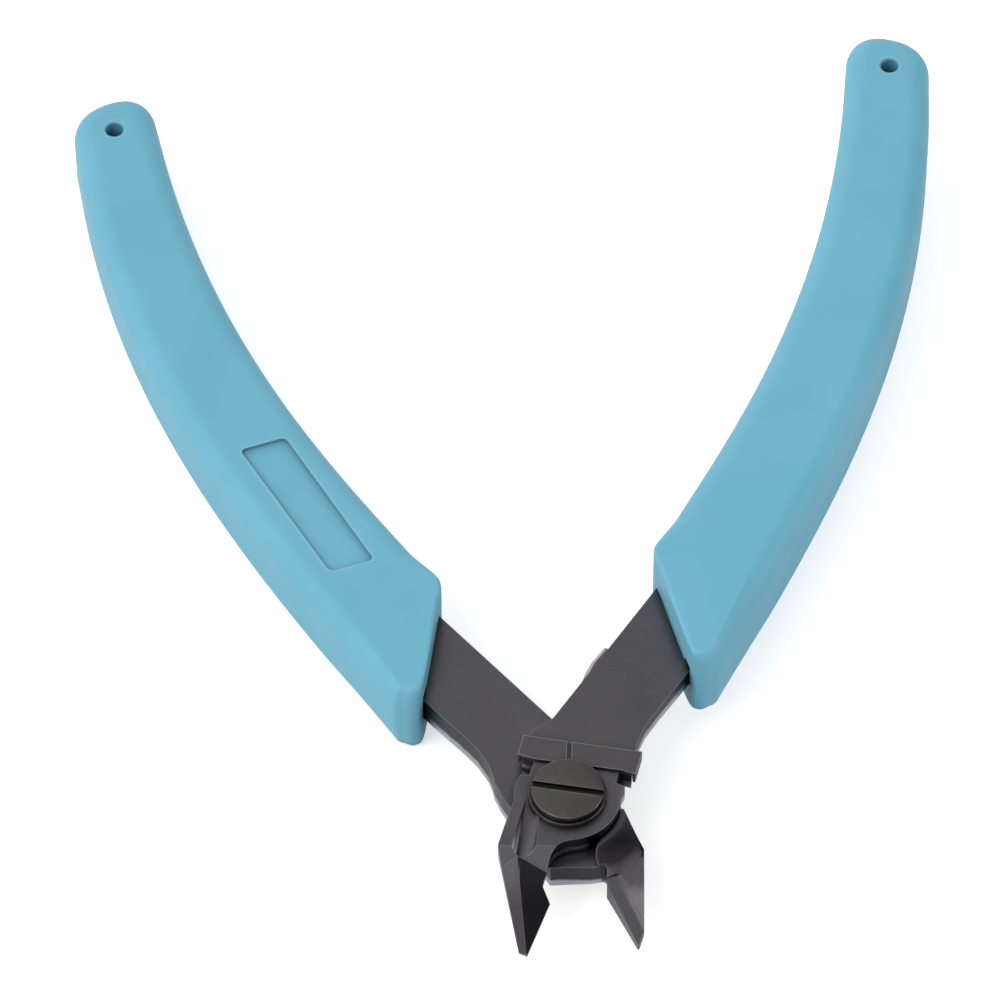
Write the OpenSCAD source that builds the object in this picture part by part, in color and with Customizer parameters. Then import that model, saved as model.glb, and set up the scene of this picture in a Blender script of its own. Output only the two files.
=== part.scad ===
// Small lap-joint shear cutters: two flat steel halves on a slotted pivot screw,
// with bowed soft grips, a return spring between the halves and a sheet clip.
// The origin is the middle of the pivot screw's back end face, +Y runs between the
// handles and +Z is the side with the slotted head.

/* [Halves] */
// Angle between the two halves when the tool rests open
open_angle = 37; // [30:0.5:40]
// Thickness of the upper half
upper_t = 2.4; // [2.3:0.05:2.8]
// Thickness of the lower half
lower_t = 3.3; // [2.9:0.05:3.4]
// Running gap between the two lapped halves
lap_gap = 0.03; // [0.02:0.005:0.06]
// Radius of the round head of each half
head_r = 5.65; // [5.5:0.05:6]
// Pivot to jaw tip
jaw_reach = 19; // [17:0.5:22]
// Pivot to the far end of the handles
handle_reach = 107.7; // [100:0.5:115]
// Width of the tang inside each grip, as a share of the grip's own width
tang_share = 0.52; // [0.4:0.02:0.56]

/* [Jaws] */
// How far the upper blade passes over the lower blade's edge at its heel
shear_overlap = 1.2; // [0.8:0.1:1.4]
// Thickness of the upper blade's edge at its heel
edge_t = 0.12; // [0.08:0.02:0.2]
// Thickness of the upper blade's edge at its tip
tip_t = 0.35; // [0.25:0.05:0.5]
// Thickness of the lower blade at its tip
lower_tip_t = 0.8; // [0.6:0.1:1]
// Height of the lower jaw's boss over the lap plane
boss_h = 1.2; // [0.8:0.1:1.6]
// Width of the flat land along the boss's inner edge
land_w = 0.5; // [0.4:0.05:0.8]
// Width of the lower blade's flat face along its edge
face_w = 1.8; // [1.5:0.1:2]
// Gap between the boss and the upper half that turns inside it
boss_gap = 0.1; // [0.06:0.02:0.2]
// Radius of the hollow where the upper half's head runs into its throat
throat_r = 3; // [2.5:0.1:3.4]
// Radius of the groove ground beside the pivot screw
groove_r = 1.5; // [1.3:0.1:1.8]

/* [Pivot] */
// Diameter of the screw's plain shoulder
shoulder_d = 4; // [3.6:0.1:4.4]
// Radial running clearance of each half on the shoulder
pivot_clear = 0.03; // [0.02:0.01:0.06]
// Diameter of the screw's thread
thread_d = 3; // [2.8:0.1:3.2]
// Diameter of the slotted head
screw_head_d = 7.7; // [7.4:0.1:8]
// Thickness of the slotted head
screw_head_t = 0.8; // [0.7:0.05:1.2]
// Width of the slot
slot_w = 0.8; // [0.6:0.05:1]
// Depth of the slot
slot_depth = 0.5; // [0.3:0.05:0.6]
// Direction of the slot as the tool rests
slot_angle = -13.5; // [-30:0.5:30]
// Length of thread that stands out of the nut
screw_end = 0.3; // [0.2:0.05:0.6]
// Width of the nut across its flats
nut_af = 5.5; // [5.4:0.05:6]
// Thickness of the nut
nut_t = 1.8; // [1.6:0.1:2.4]
// Diameter of the flat washer at the back
back_washer_d = 7; // [6.4:0.1:8]
// Thickness of the flat washer at the back
back_washer_t = 0.5; // [0.4:0.05:0.6]
// Diameter of the thin spring washer under the head
spring_washer_d = 8.2; // [8:0.1:8.6]
// Thickness of the thin spring washer
spring_washer_t = 0.2; // [0.15:0.05:0.3]

/* [Clip] */
// Thickness of the clip's sheet
clip_t = 0.3; // [0.25:0.05:0.4]
// How far the clip's ears reach down beside the upper half
ear_drop = 1.2; // [0.8:0.1:1.2]
// Gap between each ear and the side of the upper half
ear_gap = 0.15; // [0.1:0.05:0.3]
// Width of the clip's slit
slit_w = 0.45; // [0.3:0.05:0.6]
// Direction of the slit seen from the pivot, on the closed tool
slit_angle = 102; // [98:1:108]

/* [Return spring] */
// Wire diameter
wire_d = 0.7; // [0.6:0.02:0.74]
// Mean diameter of the coil
coil_d = 6.6; // [6.4:0.1:6.8]
// Rise of the coil in one turn
coil_pitch = 1.14; // [1.12:0.01:1.2]
// Room left round the wire in its pocket and grooves
wire_room = 0.12; // [0.1:0.01:0.15]

/* [Grips] */
// Thickness of each grip
grip_t = 10.4; // [10:0.1:12]
// Rounding of the grips' long edges
grip_round = 2.4; // [2:0.1:2.8]
// Rounding of the edge round each grip's mouth
mouth_round = 0.5; // [0.3:0.05:0.7]
// Rounding across the outer corner of each grip's mouth
corner_round = 1.4; // [1.1:0.1:1.5]
// Rounding of that corner in height
corner_rise = 4.2; // [3.6:0.1:4.8]
// Room over the arm inside that corner
mouth_room = 1.1; // [0.6:0.1:1.4]
// Width of that room
mouth_room_w = 2.4; // [2:0.1:3]
// How far that room reaches into the grip
mouth_room_depth = 4; // [3:0.5:6]
// Radius of the round end of each grip, seen from above
grip_end_r = 4.7; // [4.4:0.1:5]
// How far each grip's middle lies from the lap plane
grip_shift = 1.7; // [1.2:0.1:2]
// Clearance round the tang in its grip
grip_fit = 0.05; // [0.03:0.01:0.1]
// Diameter of the hole through each grip's end
end_hole_d = 2; // [1.5:0.1:2.5]

/* [Hidden] */
steel = [0.33, 0.32, 0.34];
screw_steel = [0.36, 0.34, 0.33];
plated_steel = [0.6, 0.6, 0.62];
soft_blue = [0.44, 0.7, 0.8];
over = 0.5;
fine = 96;
half_angle = open_angle / 2;

// Heights of the stack on the screw
nut_z = screw_end;
back_washer_z = nut_z + nut_t;
lower_z = back_washer_z + back_washer_t;
lap_z = lower_z + lower_t;
upper_z = lap_z + lap_gap;
top_z = upper_z + upper_t;
clip_z = top_z + lap_gap;
spring_washer_z = clip_z + clip_t;
head_z = spring_washer_z + spring_washer_t;
screw_top = head_z + screw_head_t;

// Outlines of a closed half whose handle lies at +X and whose jaw lies at -X.
// Head and neck points are shares of the head's radius, handle points of the handle's
// length, and jaw points take x from the head's radius and y from the jaw's length.
neck_out_shares = [[1.027, 1.894], [0.973, 1.487], [0.991, 1.239]];
lower_side_shares = [[1.021, 1.09], [1.021, 0.79], [1.005, 0.63]];
neck_in_shares = [[-1.0, 1.274], [-0.69, 1.655]];
lower_neck_in_shares = [[-0.98, 1.274], [-0.655, 1.655]];
arm_out_shares = [[0.08, 0.173], [0.0705, 0.147], [0.0613, 0.1225]];
arm_in_share = [0.0255, 0.2674];
lower_arm_in_share = [0.0275, 0.2674];
seat_share = 1.045;
right_notch_shares = [[1.045, 0.74], [0.8, 0.76], [0.81, 0.5], [0.99, 0.47]];
left_notch_shares = [[-0.965, 0.25], [-0.81, 0.28], [-0.79, 0.62], [-1.045, 0.66]];
right_head_angle = 18;
web_head_angle = -25;
left_head_angle = 199;
neck_head_angle = 166;
upper_back_shares = [[0.09, -1.018], [-0.08, -1.005],[-0.985, -0.413], [-0.975, -0.295]];
lower_back_shares = [[0, -0.993], [-0.05, -0.985], [-0.248, -0.91], [-0.955, -0.42],
    [-0.93, -0.3], [-0.91, -0.174]];
web_shares = [[0.925, -0.53], [0.82, -1.11], [0.55, -1.21], [0.15, -1.39]];
web_throat_shares = [[-0.13, -0.436], [-0.15, -0.46]];
heel_share = 0.647;
throat_share = 0.555;
boss_angle = -31;

// Long edges of a grip, as curves from its round end to its mouth
outer_edge_shares = [[0.1504, 0.9564], [0.2266, 0.6518], [0.1662, 0.4085], [0.1003, 0.1226]];
inner_edge_shares = [[0.0613, 0.9564], [0.1235, 0.6416], [0.0455, 0.4215], [0.0172, 0.2897]];
mouth_shares = [[0.0206, 0.273], [0.0286, 0.2615], [0.0826, 0.172]];
corner_shares = [[0.0885, 0.1645], [0.0975, 0.1615], [0.1057, 0.168]];
corner_start_share = 0.935;
corner_fade_share = 0.85;
mouth_fade_share = 0.9;
hole_share = [0.1081, 0.9543];
tang_end_share = 0.12;
tang_mouth_share = 0.82;

// Ground faces of the upper jaw: x from the head's radius, y from the jaw's length and
// z from the plate's thickness
ridge_share = [-0.673, -0.368, 0.77];
ridge_tip_share = [0.018, -0.984, 0.17];
rim_share = 0.42;
bend_share = 0.335;
bend_lean = 14;
bend_slope = 40;
groove_shares = [[-0.593, -0.116, 0.1], [-0.504, -0.389, 0.3]];
groove_run_share = 2.2;

// Ground faces of the lower jaw
face_slope = 20;
face_end_share = 0.92;
taper_share = 0.35;
scoop_share = 0.76;
scoop_low = 0.08;

// Clip, in shares of the head's radius
clip_shares = [[1, 1.274], [-1, 1.1], [-1, 0.655], [-0.7, 0.62], [0.76, 0.77], [1, 0.74]];
ring_share = 0.73;
ear_in = head_r * seat_share + ear_gap;

// Return spring
wire_r = wire_d / 2;
coil_r = coil_d / 2;
leg_lean = 5.2;
spring_turn = 540 + 2 * (leg_lean + half_angle);
spring_rise = coil_pitch * spring_turn / 360;
leg_z = spring_rise / 2;
leg_shares = [0.02, 0.5, 1];
leg_end_share = 0.91;
hook_shares = [0.4, 0.92];
lower_leg_share = 1.1;
lower_leg_len = lower_leg_share * head_r;
groove_len_share = 1.4;
hook_rise = 0.4;
rings_per_turn = 24;
wire_sides = 8;
pocket_in_r = coil_r - wire_r - 2 * wire_room;
pocket_out_r = coil_r + wire_r + 3 * wire_room;
groove_half_w = wire_r + wire_room;
groove_depth = leg_z + wire_r + wire_room;

// Chamfers of the screw, as a share of its head's thickness
screw_edge_share = 0.17;

function arc(c, r, a0, a1, n) =
    [for (i = [0:n]) let (a = a0 + (a1 - a0) * i / n) [c.x + r * cos(a), c.y + r * sin(a)]];
function by(shares, sx, sy) = [for (p = shares) [p.x * sx, p.y * sy]];
function flip(points) = [for (p = points) [-p.x, p.y]];
function back(points) = [for (i = [len(points) - 1:-1:0]) points[i]];
function bezier(p, t) = pow(1 - t, 3) * p[0] + 3 * t * pow(1 - t, 2) * p[1]
    + 3 * t * t * (1 - t) * p[2] + pow(t, 3) * p[3];
function mix(a, b, s) = a * (1 - s) + b * s;
function unit(v) = v / norm(v);
function size3(share) = [share.x * head_r, share.y * jaw_reach, share.z * upper_t];

// Centre of the throat's hollow, which meets both the round head and the blade wall
wall_x = -boss_gap / 2;
throat_c = [throat_r + wall_x, -sqrt(pow(head_r + throat_r, 2) - pow(throat_r + wall_x, 2))];
throat_a = atan2(-throat_c.y, -throat_c.x);
throat_y = -throat_share * jaw_reach;

function head_pts(shares) = by(shares, head_r, head_r);
function jaw_pts(shares) = by(shares, head_r, jaw_reach);
function handle_pts(shares) = by(shares, handle_reach, handle_reach);
outer_edge = handle_pts(outer_edge_shares);
inner_edge = handle_pts(inner_edge_shares);
arm_edge = handle_pts(arm_out_shares);
neck_in = head_pts(neck_in_shares);
arm_in = arm_in_share * handle_reach;

// The spring's upper leg leaves its half where its line crosses the arm's inner edge
arm_run = unit(arm_in - neck_in[1]);
arm_side = [-arm_run.y, arm_run.x];
leg_start = coil_r * [-cos(leg_lean), sin(leg_lean)];
leg_run = [sin(leg_lean), cos(leg_lean)];
leg_out = (arm_side * (neck_in[1] - leg_start)) / (arm_side * leg_run);
leg_len = leg_end_share * leg_out;

function tang_in(t) = mix(bezier(inner_edge, t), bezier(outer_edge, t), (1 - tang_share) / 2);
function tang_out(t) = mix(bezier(outer_edge, t), bezier(inner_edge, t), (1 - tang_share) / 2);
tang_steps = 14;
tang_ts = [for (i = [0:tang_steps]) mix(tang_end_share, tang_mouth_share, i / tang_steps)];

// From the arm's inner edge round the tang and back to the neck
tang_outline = concat([for (t = back(tang_ts)) tang_in(t)], [for (t = tang_ts) tang_out(t)],
    arm_edge, head_pts(neck_out_shares));
cavity_outline = concat([arm_in], tang_outline, [neck_in[1]]);
upper_outline = concat([arm_in], tang_outline, head_pts(right_notch_shares),
    arc([0, 0], head_r, right_head_angle, throat_a - 180, 16),
    arc(throat_c, throat_r, throat_a, 180, 8), [[wall_x, throat_y]],
    [[shear_overlap, -heel_share * jaw_reach]], jaw_pts(upper_back_shares),
    arc([0, 0], head_r, left_head_angle, neck_head_angle, 6), head_pts(left_notch_shares),
    neck_in);
lower_outline = flip(concat([lower_arm_in_share * handle_reach], tang_outline,
    head_pts(lower_side_shares), arc([0, 0], head_r, right_head_angle, web_head_angle, 8),
    head_pts(web_shares), jaw_pts(web_throat_shares), [[wall_x, throat_y]],
    jaw_pts(lower_back_shares), arc([0, 0], head_r, left_head_angle, neck_head_angle, 6),
    [[-head_r * seat_share, head_r * ring_share]], head_pts(lower_neck_in_shares)));
boss_region = concat(arc([0, 0], head_r + boss_gap, boss_angle, throat_a - 180, 16),
    arc(throat_c, throat_r - boss_gap, throat_a, 180, 8),
    [[-wall_x, -2 * jaw_reach], [2 * head_r, -2 * jaw_reach],
    [2 * head_r, 2 * head_r * tan(boss_angle)]]);

// Half space on the side of the plane through three points that its normal points to
module beyond(a, b, c) {
    n = unit(cross(b - a, c - a));
    size = jaw_reach;
    translate(a) rotate([0, acos(n.z), atan2(n.y, n.x)])
        translate([-size, -size, 0]) cube([2 * size, 2 * size, size]);
}

// Bore, spring pocket and leg groove, cut into the lap face at z = 0 of a half above it
module pivot_cuts(depth, groove_len) {
    translate([0, 0, -over])
        cylinder(d = shoulder_d + 2 * pivot_clear, h = depth + 2 * over, $fn = fine);
    translate([0, 0, -over]) difference() {
        cylinder(r = pocket_out_r, h = groove_depth + over, $fn = fine);
        translate([0, 0, -over])
            cylinder(r = pocket_in_r, h = groove_depth + 3 * over, $fn = fine);
    }
    rotate([0, 0, -leg_lean]) translate([-coil_r - groove_half_w, 0, -over])
        cube([2 * groove_half_w, groove_len, groove_depth + over]);
}

module upper_jaw_grinding() {
    heel = [shear_overlap, -heel_share * jaw_reach, edge_t];
    tip = [upper_back_shares[0].x * head_r, upper_back_shares[0].y * jaw_reach, tip_t];
    rim = [upper_back_shares[2].x * head_r, upper_back_shares[2].y * jaw_reach,
        rim_share * upper_t];
    ridge = size3(ridge_share);
    bend_y = -bend_share * jaw_reach;
    intersection() {
        rotate([0, 0, bend_lean]) translate([0, bend_y, upper_t]) rotate([bend_slope, 0, 0])
            translate([-jaw_reach, -2 * jaw_reach, 0]) cube([2 * jaw_reach, 2 * jaw_reach, jaw_reach]);
        union() {
            beyond(ridge, tip, heel);
            beyond(ridge, rim, size3(ridge_tip_share));
        }
    }
    start = [groove_shares[0].x * head_r, groove_shares[0].y * jaw_reach,
        upper_t + groove_r - groove_shares[0].z * upper_t];
    run = [groove_shares[1].x * head_r, groove_shares[1].y * jaw_reach,
        upper_t + groove_r - groove_shares[1].z * upper_t] - start;
    translate(start) rotate([0, acos(unit(run).z), atan2(run.y, run.x)])
        translate([0, 0, -norm(run) / 2])
            cylinder(r = groove_r, h = groove_run_share * norm(run), $fn = fine);
}

module upper_half() {
    color(steel) rotate([0, 0, -half_angle]) translate([0, 0, upper_z]) difference() {
        linear_extrude(upper_t) polygon(upper_outline);
        pivot_cuts(upper_t, groove_len_share * leg_len);
        upper_jaw_grinding();
    }
}

// Scoop, flat face and outer bevel of the lower jaw, and the taper under it
module lower_jaw_grinding() {
    scoop_w = scoop_share * head_r;
    scoop_c = head_r + boss_gap + land_w + scoop_w;
    scoop_d = boss_h - scoop_low;
    scoop_r = (pow(scoop_w, 2) + pow(scoop_d, 2)) / (2 * scoop_d);
    face_end = 2 * jaw_reach + throat_y * face_end_share;
    translate([0, 0, lower_t + scoop_low + scoop_r]) rotate_extrude($fn = fine)
        translate([scoop_c, 0]) circle(r = scoop_r, $fn = fine);
    translate([-face_w, -2 * jaw_reach, lower_t - lap_gap])
        cube([2 * face_w, face_end, jaw_reach]);
    intersection() {
        translate([face_w, 0, lower_t]) rotate([0, -face_slope, 0])
            translate([-over, -2 * jaw_reach, 0]) cube([jaw_reach, 2 * jaw_reach, jaw_reach]);
        translate([0, -2 * jaw_reach, 0]) cube([jaw_reach, face_end, jaw_reach]);
    }
    taper_y = -taper_share * jaw_reach;
    taper = atan2(lower_t - lower_tip_t, jaw_reach + taper_y);
    translate([-jaw_reach, taper_y, 0]) rotate([-taper, 0, 0])
        translate([0, -2 * jaw_reach, -jaw_reach]) cube([2 * jaw_reach, 2 * jaw_reach, jaw_reach]);
}

module lower_half() {
    color(steel) rotate([0, 0, half_angle]) translate([0, 0, lower_z]) difference() {
        union() {
            linear_extrude(lower_t) polygon(lower_outline);
            linear_extrude(lower_t + boss_h) intersection() {
                polygon(lower_outline);
                polygon(boss_region);
            }
        }
        translate([0, 0, lower_t]) rotate([0, 180, 0])
            pivot_cuts(lower_t, lower_leg_len + wire_r + wire_room);
        lower_jaw_grinding();
    }
}

module pivot_screw() {
    edge = screw_head_t * screw_edge_share;
    thread_r = thread_d / 2;
    head_r_edge = screw_head_d / 2;
    profile = [[0, 0], [thread_r - edge, 0], [thread_r, edge], [thread_r, lower_z],
        [shoulder_d / 2, lower_z], [shoulder_d / 2, head_z], [head_r_edge, head_z],
        [head_r_edge, screw_top - edge], [head_r_edge - edge, screw_top], [0, screw_top]];
    color(screw_steel) difference() {
        rotate_extrude($fn = fine) polygon(profile);
        rotate([0, 0, slot_angle]) translate([-screw_head_d, -slot_w / 2, screw_top - slot_depth])
            cube([2 * screw_head_d, slot_w, slot_depth + over]);
    }
}

module pivot_nut() {
    corner_r = nut_af / 2 / cos(30);
    color(plated_steel) translate([0, 0, nut_z]) difference() {
        intersection() {
            cylinder(r = corner_r, h = nut_t, $fn = 6);
            union() {
                cylinder(r1 = nut_af / 2, r2 = corner_r + over, h = nut_t / 2, $fn = fine);
                translate([0, 0, nut_t / 2])
                    cylinder(r1 = corner_r + over, r2 = nut_af / 2, h = nut_t / 2, $fn = fine);
            }
        }
        translate([0, 0, -over])
            cylinder(d = thread_d + 2 * pivot_clear, h = nut_t + 2 * over, $fn = fine);
    }
}

module washer(outer_d, inner_d, thickness) {
    difference() {
        cylinder(d = outer_d, h = thickness, $fn = fine);
        translate([0, 0, -over]) cylinder(d = inner_d, h = thickness + 2 * over, $fn = fine);
    }
}

module back_washer() {
    color(plated_steel) translate([0, 0, back_washer_z])
        washer(back_washer_d, thread_d + 4 * pivot_clear, back_washer_t);
}

module spring_washer() {
    color(screw_steel) translate([0, 0, spring_washer_z])
        washer(spring_washer_d, shoulder_d + 4 * pivot_clear, spring_washer_t);
}

// Ear that folds down beside the upper half, on the side given by +1 or -1
module ear(side) {
    low = head_r * (side > 0 ? clip_shares[5].y : clip_shares[2].y);
    high = head_r * (side > 0 ? clip_shares[0].y : clip_shares[1].y);
    translate([side > 0 ? ear_in : -ear_in - clip_t, low, -ear_drop])
        cube([clip_t, high - low, ear_drop + clip_t]);
}

module retainer_clip() {
    hole_r = shoulder_d / 2 + 2 * pivot_clear;
    color(steel) rotate([0, 0, -half_angle]) translate([0, 0, clip_z]) union() {
        linear_extrude(clip_t) difference() {
            union() {
                polygon([for (p = clip_shares) [p.x * (ear_in + clip_t), p.y * head_r]]);
                circle(r = head_r * ring_share, $fn = fine);
            }
            circle(r = hole_r, $fn = fine);
            rotate(slit_angle) translate([0, -slit_w / 2]) square([2 * head_r, slit_w]);
        }
        ear(1);
        ear(-1);
    }
}

// Middle line of one leg from the coil outwards, in its half's closed frame
function spun(p, a) = [p.x * cos(a) - p.y * sin(a), p.x * sin(a) + p.y * cos(a), p.z];
function leg_line(length) = [for (s = leg_shares) spun([-coil_r, s * length, leg_z], -leg_lean)];
hook_line = [for (s = hook_shares) let (p = leg_start + leg_out * leg_run
    + s * head_r * arm_run + groove_half_w * arm_side) [p.x, p.y, leg_z + hook_rise]];
coil_steps = ceil(rings_per_turn * spring_turn / 360);
coil_start = 180 - leg_lean - half_angle;
spring_path = concat(
    [for (p = back(concat(leg_line(leg_len), hook_line))) spun(p, -half_angle)],
    [for (i = [0:coil_steps]) let (a = coil_start + spring_turn * i / coil_steps)
        [coil_r * cos(a), coil_r * sin(a), leg_z - spring_rise * i / coil_steps]],
    [for (p = leg_line(lower_leg_len)) spun([-p.x, p.y, -p.z], half_angle)]);

// Rings of a round wire along a path
function heading(path, i) = unit(path[min(i + 1, len(path) - 1)] - path[max(i - 1, 0)]);
function ring(path, i, r, n) = let (d = heading(path, i), u = unit(cross(d, [0, 0, 1])),
    v = cross(u, d)) [for (k = [0:n - 1]) let (a = 360 * k / n)
        path[i] + r * (cos(a) * u + sin(a) * v)];
module wire(path, r, n) {
    count = len(path);
    points = [for (i = [0:count - 1]) each ring(path, i, r, n)];
    sides = [for (i = [0:count - 2], k = [0:n - 1]) let (a = i * n + k, b = i * n + (k + 1) % n)
        each [[a, b, b + n], [a, b + n, a + n]]];
    ends = [[for (k = [n - 1:-1:0]) k], [for (k = [0:n - 1]) (count - 1) * n + k]];
    polyhedron(points, concat(sides, ends), convexity = 6);
}

module return_spring() {
    gaps = [for (i = [0:len(spring_path) - 1], j = [i + ceil(rings_per_turn / 3):
        1:len(spring_path) - 1]) norm(spring_path[i] - spring_path[j]) - wire_d];
    echo(least_gap_in_the_spring = min(gaps));
    color(plated_steel) translate([0, 0, lap_z + lap_gap / 2]) wire(spring_path, wire_r, wire_sides);
}

// Outline of a grip from the mouth's outer corner up the outer edge, round the end, down
// the inner edge and across the mouth. Each point has the rounding of its edge, across
// and in height.
edge_steps = 14;
end_steps = 10;
corner_steps = len(corner_shares);
function past(t, start) = max(0, (t - start) / (1 - start));
function outer_point(t) = let (s = past(t, corner_fade_share))
    [bezier(outer_edge, t * corner_start_share), mix(grip_round, corner_round, s),
        mix(grip_round, corner_rise, s)];
function inner_point(t) = let (r = mix(grip_round, mouth_round, past(t, mouth_fade_share)))
    [bezier(inner_edge, t), r, r];
function corner_point(i) = let (s = (i + 1) / (corner_steps + 1))
    [corner_shares[i] * handle_reach, mix(mouth_round, corner_round, s),
        mix(mouth_round, corner_rise, s)];
end_mid = (outer_edge[0] + inner_edge[0]) / 2;
end_out = outer_edge[0] - end_mid;
end_up = [0, grip_end_r];
grip_points = concat(
    [for (i = [edge_steps:-1:1]) outer_point(i / edge_steps)],
    [for (i = [0:end_steps]) let (a = 180 * i / end_steps)
        [end_mid + end_out * cos(a) + end_up * sin(a), grip_round, grip_round]],
    [for (i = [1:edge_steps]) inner_point(i / edge_steps)],
    [for (p = handle_pts(mouth_shares)) [p, mouth_round, mouth_round]],
    [for (i = [0:corner_steps - 1]) corner_point(i)]);
grip_n = len(grip_points);
function inward(i) = let (d = unit(grip_points[(i + 1) % grip_n][0]
    - grip_points[(i + grip_n - 1) % grip_n][0])) [-d.y, d.x];
round_steps = 4;
module grip_body() {
    h = grip_t / 2;
    // Each level is the height's sign and the angle round the edge
    levels = concat([for (k = [round_steps:-1:0]) [-1, 90 * k / round_steps]],
        [for (k = [0:round_steps]) [1, 90 * k / round_steps]]);
    points = [for (l = levels, i = [0:grip_n - 1]) let (rise = grip_points[i][2],
        p = grip_points[i][0] + inward(i) * grip_points[i][1] * (1 - cos(l[1])))
            [p.x, p.y, l[0] * (h - rise + rise * sin(l[1]))]];
    top = (len(levels) - 1) * grip_n;
    sides = [for (j = [0:len(levels) - 2], i = [0:grip_n - 1]) let (a = j * grip_n + i,
        b = j * grip_n + (i + 1) % grip_n) each [[a, b + grip_n, b], [a, a + grip_n, b + grip_n]]];
    polyhedron(points, concat(sides, [[for (i = [0:grip_n - 1]) i]],
        [[for (i = [grip_n - 1:-1:0]) top + i]]), convexity = 6);
}

// Grip with its end hole, round a tang that starts at tang_z over the grip's middle,
// with a wider mouth at the arm's outer edge
module grip(tang_z, tang_t) {
    run = tang_out(tang_mouth_share) - arm_edge[0];
    difference() {
        grip_body();
        translate([hole_share.x * handle_reach, hole_share.y * handle_reach, -grip_t])
            cylinder(d = end_hole_d, h = 2 * grip_t, $fn = fine);
        translate([0, 0, tang_z - grip_fit]) linear_extrude(tang_t + 2 * grip_fit)
            offset(delta = grip_fit) polygon(cavity_outline);
        translate([arm_edge[0].x, arm_edge[0].y, tang_z - 2 * grip_fit])
            rotate([0, 0, atan2(run.y, run.x)]) translate([-mouth_room_depth, -3 * grip_fit, 0])
                cube([2 * mouth_room_depth, mouth_room_w, tang_t + mouth_room]);
    }
}

module right_grip() {
    color(soft_blue) rotate([0, 0, -half_angle]) translate([0, 0, lap_z + grip_shift])
        grip(lap_gap - grip_shift, upper_t);
}

module left_grip() {
    color(soft_blue) rotate([0, 0, half_angle]) translate([0, 0, lap_z - grip_shift])
        mirror([1, 0, 0]) grip(grip_shift - lower_t, lower_t);
}

lower_half();
upper_half();
pivot_screw();
pivot_nut();
back_washer();
spring_washer();
retainer_clip();
return_spring();
left_grip();
right_grip();
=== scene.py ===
"""Dresses small lap-joint shear cutters: two dark steel halves, a slotted screw and soft grips."""
import math

import bmesh
import bpy
from mathutils import Matrix, Vector


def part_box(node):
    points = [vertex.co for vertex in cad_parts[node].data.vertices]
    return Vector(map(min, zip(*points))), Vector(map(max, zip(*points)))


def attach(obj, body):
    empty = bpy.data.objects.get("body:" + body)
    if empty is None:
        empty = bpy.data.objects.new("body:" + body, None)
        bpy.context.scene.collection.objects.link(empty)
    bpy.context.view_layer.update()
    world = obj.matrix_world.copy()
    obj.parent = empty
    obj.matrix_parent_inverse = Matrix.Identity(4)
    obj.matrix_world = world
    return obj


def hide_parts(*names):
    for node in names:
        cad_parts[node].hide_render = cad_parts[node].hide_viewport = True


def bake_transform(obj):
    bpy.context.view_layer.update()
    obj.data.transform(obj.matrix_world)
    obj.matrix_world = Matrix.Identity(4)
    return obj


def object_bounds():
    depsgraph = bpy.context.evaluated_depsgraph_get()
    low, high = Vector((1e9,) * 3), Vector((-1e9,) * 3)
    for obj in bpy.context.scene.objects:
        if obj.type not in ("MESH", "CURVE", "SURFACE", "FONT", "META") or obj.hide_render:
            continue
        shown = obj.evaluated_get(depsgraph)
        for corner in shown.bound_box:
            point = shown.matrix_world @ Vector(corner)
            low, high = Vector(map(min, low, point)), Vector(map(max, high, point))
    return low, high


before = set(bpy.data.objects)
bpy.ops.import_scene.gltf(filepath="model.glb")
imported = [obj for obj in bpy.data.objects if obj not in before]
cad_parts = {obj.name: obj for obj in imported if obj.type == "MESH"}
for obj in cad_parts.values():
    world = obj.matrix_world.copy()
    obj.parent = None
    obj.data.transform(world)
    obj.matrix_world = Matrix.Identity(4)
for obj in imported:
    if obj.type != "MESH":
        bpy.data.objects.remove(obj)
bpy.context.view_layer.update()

MM = 0.001
scene = bpy.context.scene

# Sizes of the real tool in millimetres, and angles in radians
HALF_ANGLE = math.radians(18.5)
LAP_GAP = 0.03
LAP_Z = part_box("upper_half")[0].z / MM - LAP_GAP
UPPER_T = 2.4
LOWER_T = 3.3
GRIP_T = 10.4
GRIP_ROUND = 2.4
MOUTH_ROUND = 0.5
CORNER_ROUND = 1.2
CORNER_RISE = 4.2
GRIP_END_R = 4.7
GRIP_SHIFT = 1.7
GRIP_FIT = 0.05
END_HOLE_R = 1.0
END_HOLE = (11.64, 102.78)
WIRE_R = 0.35
COIL_R = 3.3
COIL_PITCH = 1.14
LEG_LEAN = math.radians(5.2)
LEG_LEN = 13.5
LOWER_LEG_LEN = 6.2

# Curves and points of a grip seen from above on the closed tool, its handle at +X
OUTER_EDGE = [(16.2, 103.0), (24.4, 70.2), (17.9, 44.0), (10.8, 13.2)]
INNER_EDGE = [(6.6, 103.0), (13.3, 69.1), (4.9, 45.4), (1.85, 31.2)]
MOUTH = [(2.22, 29.4), (3.08, 28.16), (8.9, 18.52)]
CORNER = [(9.55, 17.9), (10.5, 17.85), (11.38, 18.4)]
ARM_EDGE = [(8.62, 18.63), (7.59, 15.83), (6.6, 13.19)]
ARM_INNER = (2.75, 28.8)
NECK_INNER = (-3.9, 9.35)
RECESS = [(15.3, 55.2), (10.1, 54.9), (7.4, 35.8), (12.4, 36.15)]

# Shares of a grip's length, 0 at its far end and 1 at its mouth
CORNER_START = 0.935
CORNER_FADE = 0.85
MOUTH_FADE = 0.9
TANG_END = 0.12
TANG_MOUTH = 0.82

# Share of a grip's width that its tang takes
TANG_SHARE = 0.52


# Curves and meshes

# Points as near as this are one point
SAME_POINT = 0.002

# How far a cutter reaches past the surface that it cuts
CUT_PAST = 1


def mix(a, b, s):
    return a * (1 - s) + b * s


def past(t, start):
    """0 up to the start, then rising evenly to 1."""
    return max(0.0, (t - start) / (1 - start))


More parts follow.
